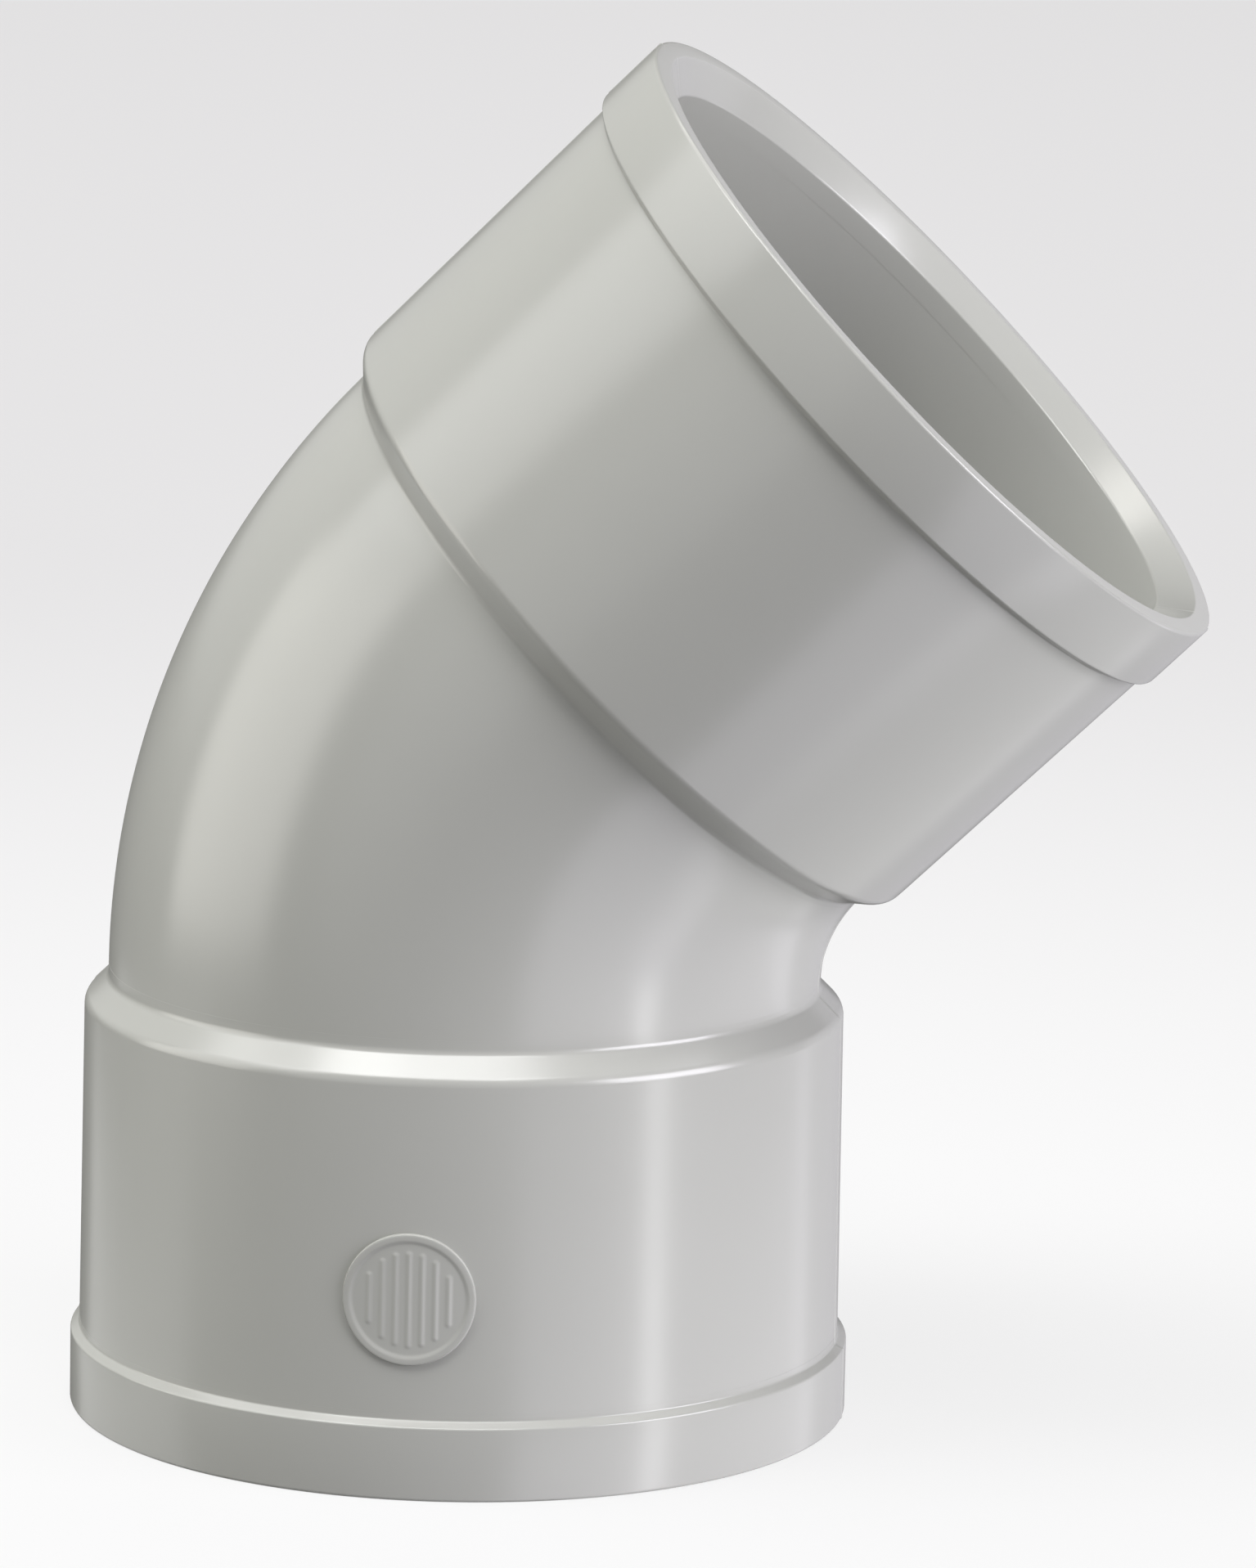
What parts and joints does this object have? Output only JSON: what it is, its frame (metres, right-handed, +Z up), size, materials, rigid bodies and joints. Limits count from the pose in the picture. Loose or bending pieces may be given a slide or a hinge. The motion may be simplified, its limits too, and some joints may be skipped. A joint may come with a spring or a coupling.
{
  "type": "pvc pipe elbow fitting",
  "caption": "45 degree elbow in plain grey PVC-U with a solvent-weld socket at each end, for 50 mm pipe.",
  "frame": {"origin": "on the surface that the fitting stands on, under the middle of its bounding box", "axes": "+Z up along the lower socket's axis, +X the way the bend leans, +Y completing a right-handed frame; the roundel is on the -Y side"},
  "size_m": [0.0827, 0.0578, 0.1013],
  "materials": {
    "bend_pvc": "semi-gloss injection-moulded PVC-U, light warm grey",
    "socket_pvc": "semi-gloss injection-moulded PVC-U, light warm grey",
    "collar_pvc": "semi-gloss injection-moulded PVC-U, light warm grey",
    "roundel_pvc": "semi-gloss moulded relief, light warm grey"
  },
  "bodies": {
    "root": {"bend": "bend_pvc", "lower_socket": "socket_pvc", "upper_socket": "socket_pvc", "lower_collar": "collar_pvc", "upper_collar": "collar_pvc", "roundel": "roundel_pvc"}
  },
  "joints": []
}
